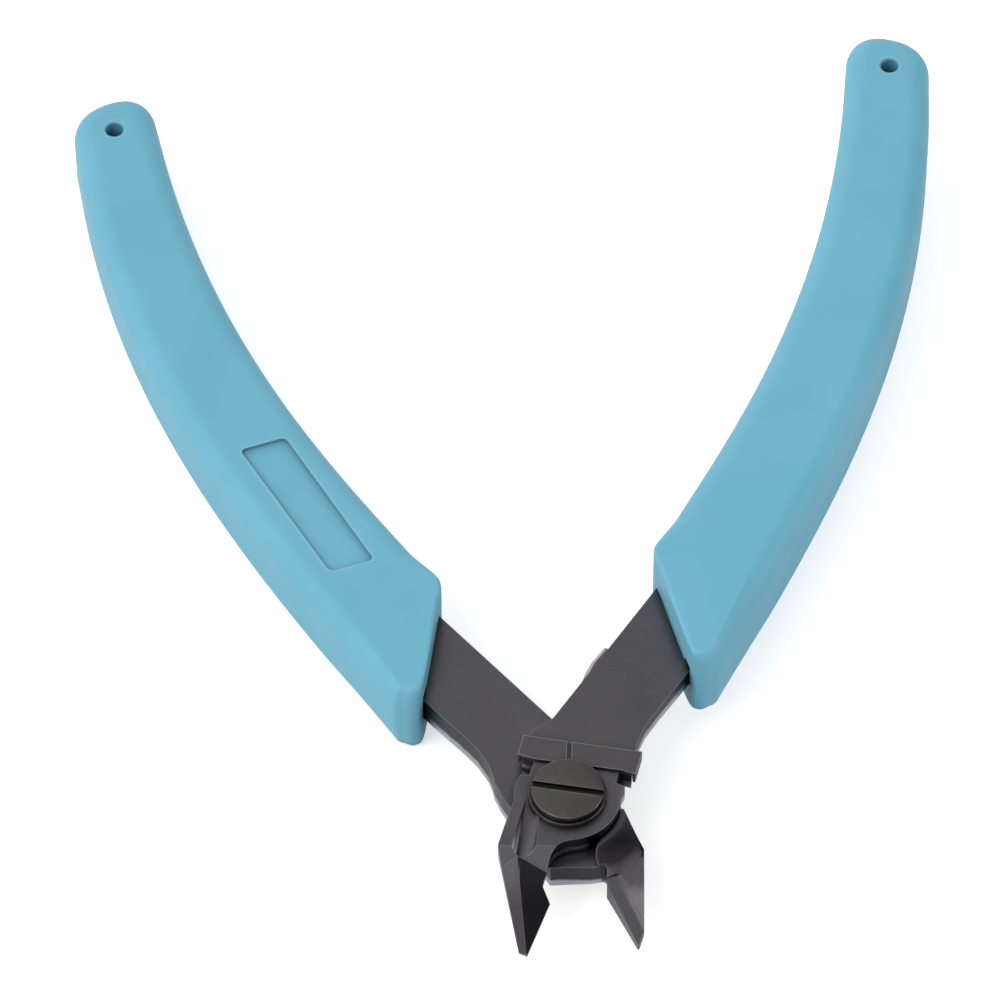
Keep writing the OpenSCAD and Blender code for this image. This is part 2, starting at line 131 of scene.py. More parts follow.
def bezier(points, t):
    a, b, c, d = (Vector(p) for p in points)
    return (1 - t) ** 3 * a + 3 * t * (1 - t) ** 2 * b + 3 * t * t * (1 - t) * c + t ** 3 * d


def spline(points, steps):
    """Smooth curve through the points, with steps on each stretch between the first and last."""
    line = []
    for i in range(1, len(points) - 2):
        p = [Vector(points[k]) for k in range(i - 1, i + 3)]
        knots = [0.0]
        for first, second in zip(p, p[1:]):
            knots.append(knots[-1] + max((second - first).length, 0.001) ** 0.5)
        for k in range(steps):
            t = mix(knots[1], knots[2], k / steps)
            level = [mix(p[j], p[j + 1], (t - knots[j]) / (knots[j + 1] - knots[j])) for j in range(3)]
            low, high = (mix(level[j], level[j + 1], (t - knots[j]) / (knots[j + 2] - knots[j]))
                         for j in range(2))
            line.append(mix(low, high, (t - knots[1]) / (knots[2] - knots[1])))
    return line


def new_object(name, verts, faces, scale=MM):
    mesh = bpy.data.meshes.new(name)
    mesh.from_pydata([Vector(v) * scale for v in verts], [], faces)
    mesh.update()
    obj = bpy.data.objects.new(name, mesh)
    scene.collection.objects.link(obj)
    return obj


def apply_modifiers(obj):
    """Puts what the modifiers make into the object's own mesh."""
    bpy.context.view_layer.update()
    shaped = obj.evaluated_get(bpy.context.evaluated_depsgraph_get())
    mesh = bpy.data.meshes.new_from_object(shaped)
    old = obj.data
    obj.modifiers.clear()
    obj.data = mesh
    mesh.name = obj.name
    bpy.data.meshes.remove(old)


def cut(obj, cutter):
    """Takes the cutter's space out of the object and deletes the cutter."""
    boolean = obj.modifiers.new("cut", "BOOLEAN")
    boolean.operation = "DIFFERENCE"
    boolean.solver = "EXACT"
    boolean.object = cutter
    apply_modifiers(obj)
    bpy.data.objects.remove(cutter)


def shade_smooth(obj):
    for polygon in obj.data.polygons:
        polygon.use_smooth = True


def weigh_normals(obj):
    """Lets large faces lead the shading and puts the modifiers into the mesh."""
    normals = obj.modifiers.new("normals", "WEIGHTED_NORMAL")
    normals.keep_sharp = True
    normals.weight = 90
    apply_modifiers(obj)


def soften(obj, width, segments=2, angle=32):
    """Rounds the sharp edges a little and shades the rest smooth."""
    shade_smooth(obj)
    bevel = obj.modifiers.new("edges", "BEVEL")
    bevel.width = width * MM
    bevel.segments = segments
    bevel.limit_method = "ANGLE"
    bevel.angle_limit = math.radians(angle)
    bevel.use_clamp_overlap = True
    weigh_normals(obj)


def prism(name, outline, low, high):
    """Upright solid over an outline in millimetres that runs anticlockwise."""
    n = len(outline)
    verts = [(p[0], p[1], z) for z in (low, high) for p in outline]
    faces = [tuple(range(n - 1, -1, -1)), tuple(range(n, 2 * n))]
    faces += [(i, (i + 1) % n, n + (i + 1) % n, n + i) for i in range(n)]
    return new_object(name, verts, faces)


def lathe(name, profile, segments=96):
    """Solid of revolution round the Z axis from (radius, height) points.

    The points start and end on the axis, or close on themselves."""
    verts = []
    for k in range(segments):
        a = 2 * math.pi * k / segments
        verts += [(r * math.cos(a), r * math.sin(a), z) for r, z in profile]
    n = len(profile)
    faces = [(k * n + i, ((k + 1) % segments) * n + i, ((k + 1) % segments) * n + i + 1, k * n + i + 1)
             for k in range(segments) for i in range(n - 1)]
    obj = new_object(name, verts, faces)
    tidy(obj)
    return obj


def tidy(obj, flat_angle=0.0):
    """Joins doubled points and, if an angle is given, the flat triangles that make one face."""
    work = bmesh.new()
    work.from_mesh(obj.data)
    bmesh.ops.remove_doubles(work, verts=work.verts, dist=SAME_POINT * MM)
    if flat_angle:
        bmesh.ops.dissolve_limit(work, angle_limit=math.radians(flat_angle), verts=work.verts,
                                 edges=work.edges)
    bmesh.ops.recalc_face_normals(work, faces=work.faces)
    work.to_mesh(obj.data)
    work.free()


def copy_of(node, name):
    """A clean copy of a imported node's mesh, with its flat faces whole."""
    obj = bpy.data.objects.new(name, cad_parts[node].data.copy())
    obj.data.materials.clear()
    scene.collection.objects.link(obj)
    tidy(obj, flat_angle=0.5)
    return obj


# Materials

# Painted shade: the colour that slots, corners and the spaces between parts are darkened towards
PAINTED_CORNER_SHADE = (0.015, 0.015, 0.017, 1)

# Side walls of the halves: painted shade, a painted reflection of the floor along their foot, and that
# strip's height and fade in millimetres
PAINTED_WALL_SHADE = (0.06, 0.058, 0.066, 1)
PAINTED_FLOOR_REFLECTION = (0.55, 0.53, 0.6, 1)
WALL_STRIP = 1.0
STRIP_FADE = 0.45

# Ground facets of the jaws: painted light and shade near the head and at the tip (a painted shadow near the
# head fading to a painted reflection at the tip on the lower half, the reverse on the upper half), where
# along Y the ground starts and where its colour changes, how cloudy that change is, and how much smoother it
# is
GROUND_PAINTED_NEAR = {"lower_half": (0.045, 0.042, 0.046, 1), "upper_half": (0.13, 0.126, 0.136, 1)}
GROUND_PAINTED_TIP = {"lower_half": (0.19, 0.184, 0.2, 1), "upper_half": (0.07, 0.066, 0.072, 1)}
GROUND_START = (-2.5, -5.0)
GROUND_FADE = (-5.0, -9.5)
GROUND_CLOUDS = 5.0
GROUND_SHINE = 0.08

# Fine rings of the turned screw head: how close they are, and how much they waver
RING_TURNS = 46.0
RING_WOBBLE = 5.0


def principled(name, inputs):
    material = bpy.data.materials.new(name)
    material.use_nodes = True
    shader = material.node_tree.nodes["Principled BSDF"]
    for socket, value in inputs.items():
        shader.inputs[socket].default_value = value
    return material, material.node_tree, shader


def node(tree, kind, inputs, **settings):
    """Adds a node; an input that is another node's output is linked."""
    made = tree.nodes.new("ShaderNode" + kind)
    for setting, value in settings.items():
        setattr(made, setting, value)
    for socket, value in inputs.items():
        if isinstance(value, bpy.types.NodeSocket):
            tree.links.new(value, made.inputs[socket])
        else:
            made.inputs[socket].default_value = value
    return made


def millimetres(tree):
    place = node(tree, "TexCoord", {})
    return node(tree, "VectorMath", {0: place.outputs["Object"], "Scale": 1 / MM},
                operation="SCALE").outputs[0]


def noise(tree, place, scale, detail=3.0, roughness=0.55):
    return node(tree, "TexNoise", {"Vector": place, "Scale": scale, "Detail": detail,
                                   "Roughness": roughness}).outputs["Fac"]


def stretch(tree, value, low, high, to_low=0.0, to_high=1.0):
    return node(tree, "MapRange", {"Value": value, "From Min": low, "From Max": high,
                                   "To Min": to_low, "To Max": to_high}).outputs[0]


def blend_colors(tree, share, a, b):
    return node(tree, "Mix", {0: share, 6: a, 7: b}, data_type="RGBA").outputs[2]


def bump(tree, height, distance, strength=1.0, normal=None):
    inputs = {"Height": height, "Distance": distance * MM, "Strength": strength}
    if normal is not None:
        inputs["Normal"] = normal
    return node(tree, "Bump", inputs).outputs[0]


def edge_share(tree, radius):
    """1 along edges and corners, 0 on the flats."""
    rounded = node(tree, "Bevel", {"Radius": radius * MM}, samples=6).outputs[0]
    flat = node(tree, "NewGeometry", {}).outputs["Normal"]
    same = node(tree, "VectorMath", {0: rounded, 1: flat}, operation="DOT_PRODUCT").outputs["Value"]
    return stretch(tree, same, 0.995, 0.85)


def times(tree, a, b):
    return node(tree, "Math", {0: a, 1: b}, operation="MULTIPLY").outputs[0]


def times_plus(tree, a, b, c):
    """a times b, plus c."""
    return node(tree, "Math", {0: a, 1: b, 2: c}, operation="MULTIPLY_ADD").outputs[0]


def in_the_open(tree, reach, power=1.0):
    """1 on open faces, towards 0 in slots and corners within the reach."""
    share = node(tree, "AmbientOcclusion", {"Distance": reach * MM}, samples=8).outputs["AO"]
    return node(tree, "Math", {0: share, 1: power}, operation="POWER").outputs[0]


def levelness(tree):
    """1 on level faces, 0 on upright ones."""
    normal = node(tree, "TexCoord", {}).outputs["Normal"]
    height = node(tree, "SeparateXYZ", {0: normal}).outputs["Z"]
    return node(tree, "Math", {0: height}, operation="ABSOLUTE").outputs[0]


def side_wall_share(tree):
    """1 on upright faces, 0 on flat and sloping ones."""
    return stretch(tree, levelness(tree), 0.35, 0.12)


def sloping_share(tree):
    """0 on level faces, 1 on sloping and upright ones."""
    return stretch(tree, levelness(tree), 0.995, 0.98)


def painted_ground_light(tree, place, along, half):
    """Painted light and shade on a half's ground jaw facets, which changes cloudily towards the tip."""
    cloudy = times_plus(tree, noise(tree, place, 0.35, 3.0), GROUND_CLOUDS, along)
    toward_tip = stretch(tree, cloudy, *GROUND_FADE)
    return blend_colors(tree, toward_tip, GROUND_PAINTED_NEAR[half], GROUND_PAINTED_TIP[half])


def painted_wall_light(tree, place, height, half, in_open):
    """Painted light on a half's side walls: painted shade over a ragged strip of painted floor reflection,
    which fades where the walls are hemmed in.
    """
    wall_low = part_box(half)[0].z / MM
    ragged = times_plus(tree, noise(tree, place, 0.8, 3.0), 0.5, height)
    strip = stretch(tree, ragged, wall_low + WALL_STRIP + STRIP_FADE, wall_low + WALL_STRIP)
    strip = times(tree, strip, stretch(tree, in_open, 0.6, 0.85))
    return blend_colors(tree, strip, PAINTED_WALL_SHADE, PAINTED_FLOOR_REFLECTION)


def oxide_steel(name, dark, pale, bare, roughness, wear, half=None):
    """Blackened steel: cloudy oxide, fine grain, faint scratches, paler worn edges and painted shade in
    corners.

    A half also has ground jaw facets with painted light and shade along them, and side walls with painted
    shade and a painted floor reflection along their foot."""
    material, tree, shader = principled(name, {"Metallic": 1.0, "Specular IOR Level": 0.5})
    place = millimetres(tree)
    clouds = stretch(tree, noise(tree, place, 0.16, 4.0), 0.3, 0.7)
    specks = stretch(tree, noise(tree, place, 3.2, 4.0), 0.45, 0.8)
    grain = noise(tree, place, 9.0, 2.0)
    drawn = node(tree, "Mapping", {"Vector": place, "Rotation": (0.0, 0.0, 0.35),
                                   "Scale": (0.25, 6.0, 1.0)}).outputs[0]
    scratches = stretch(tree, noise(tree, drawn, 1.4, 3.0), 0.6, 0.8)
    edges = edge_share(tree, 0.22)
    in_open = in_the_open(tree, 1.2, 1.1)
    parts = node(tree, "SeparateXYZ", {0: place}).outputs
    ground = times(tree, stretch(tree, parts["Y"], *GROUND_START), sloping_share(tree))
    color = blend_colors(tree, clouds, dark, pale)
    if half:
        # painted light and shade along the ground jaw facets
        color = blend_colors(tree, ground, color, painted_ground_light(tree, place, parts["Y"], half))
    color = blend_colors(tree, times(tree, specks, 0.06), color, bare)
    if half:
        # painted shade and a painted floor reflection on the side walls
        wall = painted_wall_light(tree, place, parts["Z"], half, in_open)
        color = blend_colors(tree, side_wall_share(tree), color, wall)
    color = blend_colors(tree, times(tree, edges, wear), color, bare)
    # painted shade in slots, corners and between parts
    color = blend_colors(tree, in_open, PAINTED_CORNER_SHADE, color)
    tree.links.new(color, shader.inputs["Base Color"])
    worn = stretch(tree, specks, 0.0, 1.0, roughness + 0.03, roughness - 0.04)
    tree.links.new(times_plus(tree, ground, -GROUND_SHINE, worn), shader.inputs["Roughness"])
    lines = node(tree, "Mapping", {"Vector": place, "Scale": (0.3, 9.0, 0.3)}).outputs[0]
    relief = bump(tree, times(tree, noise(tree, lines, 1.2, 2.0), ground), 0.01, 0.3)
    relief = bump(tree, grain, 0.006, 0.2, relief)
    tree.links.new(bump(tree, scratches, 0.004, 0.15, relief), shader.inputs["Normal"])
    return material


def turned_steel(name, dark, pale, bare, roughness):
    """Turned face with fine rings round the pivot's axis, browned by oxide, with painted shade in the slot
    and under the head.
    """
    material, tree, shader = principled(name, {"Metallic": 1.0, "Anisotropic": 0.3})
    place = millimetres(tree)
    parts = node(tree, "SeparateXYZ", {0: place})
    flat = node(tree, "CombineXYZ", {0: parts.outputs[0], 1: parts.outputs[1]})
    radius = node(tree, "VectorMath", {0: flat.outputs[0]}, operation="LENGTH").outputs["Value"]
    wobble = noise(tree, place, 1.5, 2.0)
    rings = times_plus(tree, radius, RING_TURNS, times(tree, wobble, RING_WOBBLE))
    wave = node(tree, "Math", {0: rings}, operation="SINE").outputs[0]
    specks = stretch(tree, noise(tree, place, 2.2, 5.0), 0.35, 0.7)
    edges = edge_share(tree, 0.15)
    color = blend_colors(tree, specks, dark, pale)
    color = blend_colors(tree, times(tree, edges, 0.7), color, bare)
    # painted shade in the slot and under the head
    color = blend_colors(tree, in_the_open(tree, 0.8, 2.2), PAINTED_CORNER_SHADE, color)
    tree.links.new(color, shader.inputs["Base Color"])
    tree.links.new(stretch(tree, specks, 0.0, 1.0, roughness + 0.08, roughness), shader.inputs["Roughness"])
    relief = bump(tree, wave, 0.004, 0.35)
    tree.links.new(bump(tree, noise(tree, place, 8.0, 2.0), 0.01, 0.3, relief), shader.inputs["Normal"])
    return material


def plated_steel(name, color_a, color_b, roughness):
    """Bright plated or drawn steel with light streaks."""
    material, tree, shader = principled(name, {"Metallic": 1.0})
    place = millimetres(tree)
    clouds = stretch(tree, noise(tree, place, 0.8, 4.0), 0.35, 0.7)
    tree.links.new(blend_colors(tree, clouds, color_a, color_b), shader.inputs["Base Color"])
    tree.links.new(stretch(tree, clouds, 0.0, 1.0, roughness + 0.1, roughness), shader.inputs["Roughness"])
    tree.links.new(bump(tree, noise(tree, place, 7.0, 2.0), 0.006, 0.3), shader.inputs["Normal"])
    return material


def soft_rubber(name, color_a, color_b, painted_edge_highlight, painted_hollow_shade):
    """Matte moulded grip: even colour, a faint orange-peel skin, slightly paler edges as a painted highlight
    and painted shade in hollows.
    """
    material, tree, shader = principled(name, {"Specular IOR Level": 0.45, "Sheen Weight": 0.12,
                                               "Sheen Roughness": 0.5})
    shader.inputs["Sheen Tint"].default_value = (0.8, 0.95, 1.0, 1.0)
    place = millimetres(tree)
    clouds = stretch(tree, noise(tree, place, 0.07, 4.0), 0.35, 0.65)
    peel = noise(tree, place, 2.4, 3.0)
    pores = noise(tree, place, 11.0, 2.0)
    edges = edge_share(tree, 0.9)
    color = blend_colors(tree, clouds, color_a, color_b)
    # painted highlight along the rounded edges
    color = blend_colors(tree, times(tree, edges, 0.45), color, painted_edge_highlight)
    # painted shade in the hole, the recess and where the grip meets the arm
    color = blend_colors(tree, in_the_open(tree, 1.6, 1.2), painted_hollow_shade, color)
    tree.links.new(color, shader.inputs["Base Color"])
    tree.links.new(stretch(tree, peel, 0.3, 0.7, 0.56, 0.46), shader.inputs["Roughness"])
    relief = bump(tree, peel, 0.02, 0.3)
    tree.links.new(bump(tree, pores, 0.006, 0.3, relief), shader.inputs["Normal"])
    return material


HALF_STEEL = {half: oxide_steel(half + "_oxide",
                                dark=(0.112, 0.108, 0.12, 1),
                                pale=(0.132, 0.127, 0.14, 1),
                                bare=(0.36, 0.35, 0.37, 1),
                                roughness=0.32, wear=0.5, half=half)
              for half in ("lower_half", "upper_half")}
CLIP_STEEL = oxide_steel("dark_spring_steel",
                         dark=(0.108, 0.103, 0.11, 1),
                         pale=(0.13, 0.125, 0.131, 1),
                         bare=(0.42, 0.41, 0.42, 1),
                         roughness=0.3, wear=0.8)
SCREW_STEEL = turned_steel("browned_screw_steel",
                           dark=(0.095, 0.09, 0.087, 1),
                           pale=(0.118, 0.112, 0.108, 1),
                           bare=(0.36, 0.35, 0.34, 1),
                           roughness=0.3)
PLATED_STEEL = plated_steel("zinc_plate", (0.46, 0.46, 0.48, 1), (0.62, 0.62, 0.64, 1), roughness=0.25)
SPRING_STEEL = plated_steel("drawn_spring_wire", (0.42, 0.41, 0.42, 1), (0.58, 0.57, 0.58, 1), roughness=0.3)
SOFT_BLUE = soft_rubber("turquoise_rubber", (0.13, 0.42, 0.56, 1), (0.15, 0.45, 0.6, 1),
                        painted_edge_highlight=(0.3, 0.6, 0.74, 1), painted_hollow_shade=(0.02, 0.08, 0.12, 1))


def finish_piece(obj, material, body, slot, *nodes):
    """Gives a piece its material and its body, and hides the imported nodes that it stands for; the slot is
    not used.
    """
    obj.data.materials.clear()
    obj.data.materials.append(material)
    if body:
        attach(obj, body)
    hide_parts(*nodes)


# Halves

for half, body in (("lower_half", "lower"), ("upper_half", "upper")):
    steel = copy_of(half, half + "_steel")
    soften(steel, width=0.13)
    finish_piece(steel, HALF_STEEL[half], body, "dark_steel", half)

clip = copy_of("retainer_clip", "retainer_clip_sheet")
soften(clip, width=0.07)
finish_piece(clip, CLIP_STEEL, "upper", "clip_steel", "retainer_clip")


# Screw, nut and washers

SHOULDER_R = 2.0
THREAD_R = 1.5
SCREW_HEAD_R = 3.85
SCREW_HEAD_T = 0.8
SCREW_EDGE = 0.14
SLOT_W = 0.8
SLOT_DEPTH = 0.5
SLOT_ANGLE = math.radians(-13.5)
SLOT_REACH = 6
RUNNING_FIT = 0.06
TOP_WASHER_R = 4.1
TOP_WASHER_EDGE = 0.07
BACK_WASHER_R = 3.5
BACK_WASHER_EDGE = 0.1


def rounded_rim(radius, low, high, edge, steps=4):
    """Points of an outer rim with both edges rounded, low end first."""
    turns = [math.pi / 2 * k / steps for k in range(steps + 1)]
    lower = [(radius - edge + edge * math.sin(a), low + edge - edge * math.cos(a)) for a in turns]
    upper = [(radius - edge + edge * math.cos(a), high - edge + edge * math.sin(a)) for a in turns]
    return lower + upper


def ring_piece(name, packed, outer_r, inner_r, edge):
    """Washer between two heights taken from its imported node."""
    low, high = (corner.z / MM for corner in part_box(packed))
    rim = rounded_rim(outer_r, low, high, edge)
    return lathe(name, [(inner_r, low)] + rim + [(inner_r, high), (inner_r, low)])


screw_low, screw_high = (corner.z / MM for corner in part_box("pivot_screw"))
head_low = screw_high - SCREW_HEAD_T
lower_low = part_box("lower_half")[0].z / MM
screw = lathe("pivot_screw_turned", [(0, screw_low), (THREAD_R - SCREW_EDGE, screw_low),
                                     (THREAD_R, screw_low + SCREW_EDGE), (THREAD_R, lower_low),
                                     (SHOULDER_R, lower_low), (SHOULDER_R, head_low)]
              + rounded_rim(SCREW_HEAD_R, head_low, screw_high, SCREW_EDGE) + [(0, screw_high)])
slot_box = [(-SLOT_REACH, -SLOT_W / 2), (SLOT_REACH, -SLOT_W / 2),
            (SLOT_REACH, SLOT_W / 2), (-SLOT_REACH, SLOT_W / 2)]
slot_cutter = prism("slot_cutter", slot_box, screw_high - SLOT_DEPTH, screw_high + CUT_PAST)
slot_cutter.data.transform(Matrix.Rotation(SLOT_ANGLE, 4, "Z"))
cut(screw, slot_cutter)
soften(screw, width=0.05, angle=40)
finish_piece(screw, SCREW_STEEL, "lower", "screw_steel", "pivot_screw")

top_washer = ring_piece("spring_washer_ring", "spring_washer", TOP_WASHER_R,
                        SHOULDER_R + RUNNING_FIT, TOP_WASHER_EDGE)
soften(top_washer, width=0.02, segments=1, angle=40)
finish_piece(top_washer, SCREW_STEEL, "lower", "screw_steel", "spring_washer")

back_washer = ring_piece("back_washer_ring", "back_washer", BACK_WASHER_R,
                         THREAD_R + RUNNING_FIT, BACK_WASHER_EDGE)
soften(back_washer, width=0.02, segments=1, angle=40)
finish_piece(back_washer, PLATED_STEEL, "lower", "plated_steel", "back_washer")

nut = copy_of("pivot_nut", "pivot_nut_hex")
soften(nut, width=0.06)
finish_piece(nut, PLATED_STEEL, "lower", "plated_steel", "pivot_nut")


# Return spring

HOOK = [(-1.66, 17.39), (-0.69, 20.17)]
HOOK_RISE = 0.4
UPPER_LEG_SHARES = (0.04, 0.35, 0.7, 0.97)
LOWER_LEG_SHARES = (0.08, 0.5, 1)
LEG_STEPS = 6
COIL_STEPS = 48


def spun(x, y, z, angle):
    """The point turned round the Z axis."""
    return Vector((x * math.cos(angle) - y * math.sin(angle), x * math.sin(angle) + y * math.cos(angle), z))


def spring_line():
    """Middle line of the wire: the upper leg with its hook, the coil and the lower leg."""
    turn = 3 * math.pi + 2 * (LEG_LEAN + HALF_ANGLE)
    rise = COIL_PITCH * turn / (2 * math.pi)
    leg_z = rise / 2
    hook = [Vector((x, y, leg_z + HOOK_RISE)) for x, y in HOOK]
    upper = [spun(-COIL_R, s * LEG_LEN, leg_z, -LEG_LEAN) for s in UPPER_LEG_SHARES]
    upper = [spun(*p, -HALF_ANGLE) for p in upper + hook]
    lower = [spun(COIL_R, s * LOWER_LEG_LEN, -leg_z, LEG_LEAN) for s in LOWER_LEG_SHARES]
    lower = [spun(*p, HALF_ANGLE) for p in lower]
    start = math.pi - LEG_LEAN - HALF_ANGLE
    steps = math.ceil(COIL_STEPS * turn / (2 * math.pi))
    coil = [Vector((COIL_R * math.cos(start + turn * i / steps), COIL_R * math.sin(start + turn * i / steps),
                    leg_z - rise * i / steps)) for i in range(steps + 1)]
    upper.reverse()
    upper = [2 * upper[0] - upper[1]] + upper + [coil[0]]
    end = lower[-1]
    lower = [coil[-1]] + lower + [2 * lower[-1] - lower[-2]]
    return spline(upper, LEG_STEPS) + coil + spline(lower, LEG_STEPS) + [end]


def tube(name, line, radius, sides=16):
    """Round wire along a line of points, with flat ends."""
    verts = []
    for i, point in enumerate(line):
        ahead = (line[min(i + 1, len(line) - 1)] - line[max(i - 1, 0)]).normalized()
        side = ahead.cross(Vector((0, 0, 1))).normalized()
        up = side.cross(ahead)
        for k in range(sides):
            a = 2 * math.pi * k / sides
            verts.append(point + radius * (math.cos(a) * side + math.sin(a) * up))
    faces = [(i * sides + k, i * sides + (k + 1) % sides, (i + 1) * sides + (k + 1) % sides,
              (i + 1) * sides + k) for i in range(len(line) - 1) for k in range(sides)]
    faces.append(tuple(range(sides)))
    faces.append(tuple(range(len(verts) - 1, len(verts) - sides - 1, -1)))
    obj = new_object(name, verts, faces)
    tidy(obj)
    return obj


spring = tube("return_spring_wire", spring_line(), WIRE_R)
spring.data.transform(Matrix.Translation((0, 0, (LAP_Z + LAP_GAP / 2) * MM)))
soften(spring, width=0.08, angle=50)
finish_piece(spring, SPRING_STEEL, None, "spring_wire", "return_spring")
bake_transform(spring)


# Grips

EDGE_STEPS = 64
CAP_STEPS = 32
MOUTH_STEPS = 7
COARSE_STEPS = 14
ROUND_STEPS = 9
TANG_STEPS = 14

# The far end: below 1 it is squarer than a half circle, and it leans a little inwards
CAP_SQUARE = 0.86
CAP_LEAN = (-0.12, 0.993)


# Each of these gives a place on the edge, how far its rounding reaches inwards, and how high

def outer_point(t):
    s = past(t, CORNER_FADE)
    return (bezier(OUTER_EDGE, t * CORNER_START), mix(GRIP_ROUND, CORNER_ROUND, s),
            mix(GRIP_ROUND, CORNER_RISE, s))


def inner_point(t):
    r = mix(GRIP_ROUND, MOUTH_ROUND, past(t, MOUTH_FADE))
    return bezier(INNER_EDGE, t), r, r


def corner_point(i):
    s = (i + 1) / (len(CORNER) + 1)
    return Vector(CORNER[i]), mix(MOUTH_ROUND, CORNER_ROUND, s), mix(MOUTH_ROUND, CORNER_RISE, s)


def inset_points(points):
    """Turns (place, across, rise) of all points but the ends into place, inward run and rise."""
    made = []
    for before, (place, across, rise), after in zip(points, points[1:], points[2:]):
        along = (after[0] - before[0]).normalized()
        made.append(Vector((place.x, place.y, -along.y * across, along.x * across, rise)))
    return made


def grip_outline():
    """Points of a grip's outline, each with its edge's inward run and rounding height."""
    points = [outer_point(i / EDGE_STEPS) for i in range(EDGE_STEPS, 0, -1)]
    outer, inner = Vector(OUTER_EDGE[0]), Vector(INNER_EDGE[0])
    for i in range(1, CAP_STEPS):
        a = math.pi * i / CAP_STEPS
        across = math.copysign(abs(math.cos(a)) ** CAP_SQUARE, math.cos(a))
        up = Vector(CAP_LEAN) * GRIP_END_R * math.sin(a) ** CAP_SQUARE
        points.append(((outer + inner) / 2 + (outer - inner) / 2 * across + up, GRIP_ROUND, GRIP_ROUND))
    points += [inner_point(i / EDGE_STEPS) for i in range(1, EDGE_STEPS + 1)]
    long_edges = inset_points(points)
    step = 1 / COARSE_STEPS
    mouth = [inner_point(1 - 2 * step), inner_point(1 - step), inner_point(1)]
    mouth += [(Vector(p), MOUTH_ROUND, MOUTH_ROUND) for p in MOUTH]
    mouth += [corner_point(i) for i in range(len(CORNER))]
    mouth += [outer_point(1), outer_point(1 - step), outer_point(1 - 2 * step)]
    across = inset_points(mouth)
    curve = spline(across, MOUTH_STEPS)
    return long_edges + curve[1:] + [across[-2]]


def grip_body(name):
    """Closed body of a grip, its middle height at zero."""
    outline = grip_outline()
    n = len(outline)
    half_t = GRIP_T / 2
    turns = [math.pi / 2 * k / ROUND_STEPS for k in range(ROUND_STEPS + 1)]
    levels = [(-1, a) for a in reversed(turns)] + [(1, a) for a in turns]
    verts = []
    for side, turn in levels:
        inset = 1 - math.cos(turn)
        for x, y, inward_x, inward_y, rise in outline:
            verts.append((x + inward_x * inset, y + inward_y * inset,
                          side * (half_t - rise + rise * math.sin(turn))))
    faces = [(j * n + i, j * n + (i + 1) % n, (j + 1) * n + (i + 1) % n, (j + 1) * n + i)
             for j in range(len(levels) - 1) for i in range(n)]
    faces.append(tuple(range(n - 1, -1, -1)))
    faces.append(tuple((len(levels) - 1) * n + i for i in range(n)))
    return new_object(name, verts, faces)


def tang_point(t, first, second):
    """Point of the tang's edge that lies nearer to the first of the grip's two edges."""
    return mix(bezier(first, t), bezier(second, t), (1 - TANG_SHARE) / 2)


def tang_outline():
    """Outline of the tang and of the bare arm up to the neck, run anticlockwise."""
    shares = [mix(TANG_END, TANG_MOUTH, i / TANG_STEPS) for i in range(TANG_STEPS + 1)]
    inner = [tang_point(t, INNER_EDGE, OUTER_EDGE) for t in reversed(shares)]
    outer = [tang_point(t, OUTER_EDGE, INNER_EDGE) for t in shares]
    line = [Vector(ARM_INNER)] + inner + outer + [Vector(p) for p in ARM_EDGE] + [Vector(NECK_INNER)]
    line.reverse()
    return line


def rounded_outline(points, radius, steps=6):
    """The outline with its corners rounded by curves that start radius from each corner."""
    line = []
    for i, point in enumerate(points):
        corner = Vector(point)
        before = corner + (Vector(points[i - 1]) - corner).normalized() * radius
        after = corner + (Vector(points[(i + 1) % len(points)]) - corner).normalized() * radius
        for k in range(steps + 1):
            t = k / steps
            line.append((1 - t) ** 2 * before + 2 * t * (1 - t) * corner + t * t * after)
    return line


MOUTH_ROOM = 0.9
MOUTH_ROOM_W = 1.2
MOUTH_ROOM_DEPTH = 4.0
RECESS_DEPTH = 0.4
RECESS_ROUND = 0.7
HOLE_LIP = 0.25
LIP_STEPS = 4


def cut_cavity(obj, tang_low, tang_t):
    """Cuts the tang's cavity into a grip, and the room over the arm's outer edge at the mouth."""
    cut(obj, prism("cavity_cutter", tang_outline(), tang_low - GRIP_FIT, tang_low + tang_t + GRIP_FIT))
    run = (tang_point(TANG_MOUTH, OUTER_EDGE, INNER_EDGE) - Vector(ARM_EDGE[0])).normalized()
    side = Vector((-run.y, run.x))
    start = Vector(ARM_EDGE[0]) - side * 3 * GRIP_FIT
    room = [start - run * MOUTH_ROOM_DEPTH, start + run * MOUTH_ROOM_DEPTH]
    room += [room[1] + side * MOUTH_ROOM_W, room[0] + side * MOUTH_ROOM_W]
    low = tang_low - 2 * GRIP_FIT
    cut(obj, prism("room_cutter", room, low, low + tang_t + MOUTH_ROOM))


def cut_end_hole(obj):
    """Cuts the end hole, with a rounded lip at both faces."""
    half_t = GRIP_T / 2
    turns = [math.pi / 2 * k / LIP_STEPS for k in range(LIP_STEPS + 1)]
    lip = [(END_HOLE_R + HOLE_LIP * (1 - math.sin(a)), half_t - HOLE_LIP + HOLE_LIP * math.cos(a))
           for a in turns]
    top = [(0, half_t + CUT_PAST), (END_HOLE_R + HOLE_LIP, half_t + CUT_PAST)] + lip
    hole = lathe("hole_cutter", [(r, -z) for r, z in top] + list(reversed(top)), segments=48)
    hole.data.transform(Matrix.Translation((END_HOLE[0] * MM, END_HOLE[1] * MM, 0)))
    cut(obj, hole)


def cut_recess(obj):
    """Cuts the bare shallow recess into a grip's top."""
    outline = rounded_outline(RECESS, RECESS_ROUND)
    cut(obj, prism("recess_cutter", outline, GRIP_T / 2 - RECESS_DEPTH, GRIP_T / 2 + CUT_PAST))


SHARP_TURN = math.radians(40)

